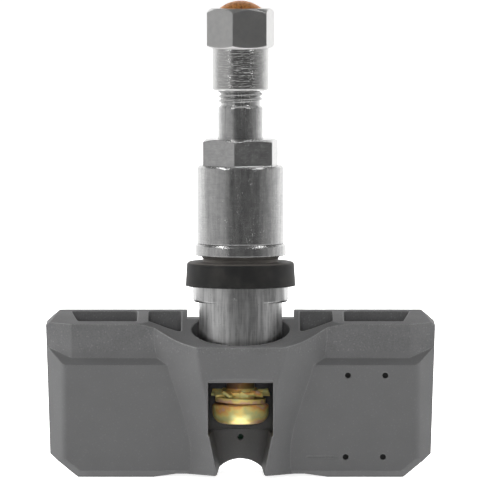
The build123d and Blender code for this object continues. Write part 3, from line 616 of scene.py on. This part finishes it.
def foot_lobe(name, side):
    """One rounded lobe of the foot's flange, on the side +1 or -1 of X, as a closed band.

    The angle runs from one end of the lobe to the other. The reach is full within 22 degrees of the
    X axis and falls off along a cosine to just inside the foot's own radius at 60 degrees. Across it
    the section has an upright side and a bevel under it, which shrinks with the reach.
    """
    angle = np.linspace(-LOBE_END_ANGLE, LOBE_END_ANGLE, LOBE_STEPS)[:, None]
    past = np.clip((np.abs(angle) - LOBE_FULL_ANGLE) / (LOBE_END_ANGLE - LOBE_FULL_ANGLE), 0, 1)
    share = 0.5 + 0.5 * np.cos(past * np.pi)
    reach = LOBE_ROOT + (LOBE_REACH - LOBE_ROOT) * share
    bevel = LOBE_BEVEL * (LOBE_END_BEVEL + (1 - LOBE_END_BEVEL) * share)
    inside, bottom, top = (np.full_like(angle, size) for size in (LOBE_INSIDE, LOBE_BOTTOM, LOBE_TOP))
    radius = np.hstack([inside, reach - bevel, reach, reach, inside])
    height = np.hstack([bottom, bottom, bottom + bevel, top, top])
    lobe = stem_band(name, side * radius, angle, height, FINISHES["turned_metal"])
    lobe.data.shade_smooth()
    lobe.data.set_sharp_from_angle(angle=LOBE_SHARP_ANGLE)


thread_ridge("valve_thread", VALVE_ROOT, VALVE_CREST, VALVE_PITCH, VALVE_THREAD_START, VALVE_THREAD_END)
thread_ridge("nut_thread", NUT_ROOT, NUT_CREST, NUT_PITCH, NUT_THREAD_START, NUT_THREAD_END)
foot_lobe("foot_lobe_right", 1)
foot_lobe("foot_lobe_left", -1)


# Studio: pale floor, soft boxes and a bright surround that is darker in front
def studio_floor():
    """A wide pale floor under the part: a flat grid of squares, level with the part's lowest point."""
    side = np.linspace(-FLOOR_REACH, FLOOR_REACH, FLOOR_SQUARES + 1)
    x, y = np.meshgrid(side, side, indexing="ij")
    points = np.stack([x, y, np.full_like(x, cad_box[0][2])], axis=-1)
    row = np.arange(FLOOR_SQUARES)[:, None] * len(side)
    corner = (row + np.arange(FLOOR_SQUARES)[None, :]).reshape(-1)
    faces = np.stack([corner, corner + len(side), corner + len(side) + 1, corner + 1], axis=-1).tolist()
    board = surface_finish("pale_board", pale_board, Emission_Strength=1.0)
    floor = mesh_object("studio_floor", points, faces, board)
    floor.visible_glossy = False


def soft_box(name, bearing, elevation, distance, size, power, mirrored=True):
    """An area light that faces the part, on a bearing from the front and at an elevation, in degrees.

    Its distance and its width and height are in metres, and its power in watts. With mirrored=False it
    lights the part but isn't seen in reflections.
    """
    light = bpy.data.lights.new(name, "AREA")
    light.energy = power
    light.shape = "RECTANGLE"
    light.size, light.size_y = size
    lamp = bpy.data.objects.new(name, light)
    bearing, elevation = math.radians(bearing), math.radians(elevation)
    lamp.location = (distance * math.sin(bearing) * math.cos(elevation),
                     -distance * math.cos(bearing) * math.cos(elevation),
                     distance * math.sin(elevation))
    lamp.rotation_euler = lamp.location.to_track_quat("Z", "Y").to_euler()
    lamp.visible_glossy = mirrored
    bpy.context.scene.collection.objects.link(lamp)


def surround():
    """Studio walls as light. Turned metal mirrors them as level bands: dark in front, a step up on the
    left, and a slow rise to white on both sides and behind, over a bright floor and under a dark
    ceiling. Matt surfaces get a weaker, more even light, and the camera sees plain white.
    """
    world = bpy.data.worlds.new("studio_walls")
    bpy.context.scene.world = world
    world.use_nodes = True
    finish = Finish(world.node_tree)
    direction = finish.node("ShaderNodeTexCoord").outputs["Generated"]
    x, y, z = finish.parts(direction)
    compass = x.math("ARCTAN2", -y) / (2 * math.pi) + 0.5
    mirrored = finish.ramp(compass, [(bearing / 360 + 0.5, grey(level)) for bearing, level in WALLS])
    far_floor, near_floor, ceiling = (-z).above(0.2, 0.5), (-z).above(0.6, 0.85), z.above(0.45, 0.65)
    for share, level in [(far_floor, 0.8), (near_floor, 1.6), (ceiling, 0.1)]:
        mirrored = finish.blend(share, mirrored, grey(level))
    matt = finish.blend(z.above(-0.3, 0.9), grey(0.02), grey(0.1))
    path = finish.node("ShaderNodeLightPath")
    light = finish.blend(path.outputs["Is Diffuse Ray"], mirrored, matt)
    light = finish.blend(path.outputs["Is Camera Ray"], light, grey(1.0))
    background = finish.node("ShaderNodeBackground", None, {"Color": light, "Strength": WALL_STRENGTH})
    finish.node("ShaderNodeOutputWorld", None, {"Surface": background.outputs["Background"]})


def studio_camera():
    """The camera in front of the part, whose picture is as wide as the view where the part stands."""
    camera = bpy.data.cameras.new("studio_camera")
    camera.angle = 2 * math.atan(VIEW_WIDTH / 2 / VIEW_DISTANCE)
    eye = bpy.data.objects.new("studio_camera", camera)
    eye.location = (VIEW_CENTRE_X, -VIEW_DISTANCE * math.cos(VIEW_SLOPE),
                    VIEW_CENTRE_Z + VIEW_DISTANCE * math.sin(VIEW_SLOPE))
    eye.rotation_euler = (math.pi / 2 - VIEW_SLOPE, 0, 0)
    bpy.context.scene.collection.objects.link(eye)
    bpy.context.scene.camera = eye


studio_floor()
surround()
soft_box("left_top_box", bearing=-106, elevation=63, distance=0.97, size=(0.3, 0.06), power=0.4)
soft_box("right_top_box", bearing=106, elevation=63, distance=0.97, size=(0.3, 0.06), power=0.35)
soft_box("left_strip", bearing=-48, elevation=38, distance=1.0, size=(0.1, 0.6), power=1.6)
soft_box("right_strip", bearing=48, elevation=38, distance=1.0, size=(0.08, 0.6), power=1.0)
soft_box("high_fill", bearing=0, elevation=36, distance=1.3, size=(0.8, 0.8), power=4.5, mirrored=False)
soft_box("low_fill", bearing=0, elevation=4, distance=1.3, size=(0.4, 0.25), power=11.5, mirrored=False)
soft_box("left_fill", bearing=-96, elevation=18, distance=1.3, size=(0.8, 0.8), power=44, mirrored=False)
soft_box("right_fill", bearing=100, elevation=18, distance=1.3, size=(0.8, 0.8), power=28, mirrored=False)
studio_camera()
bpy.context.scene.view_settings.view_transform = "Standard"
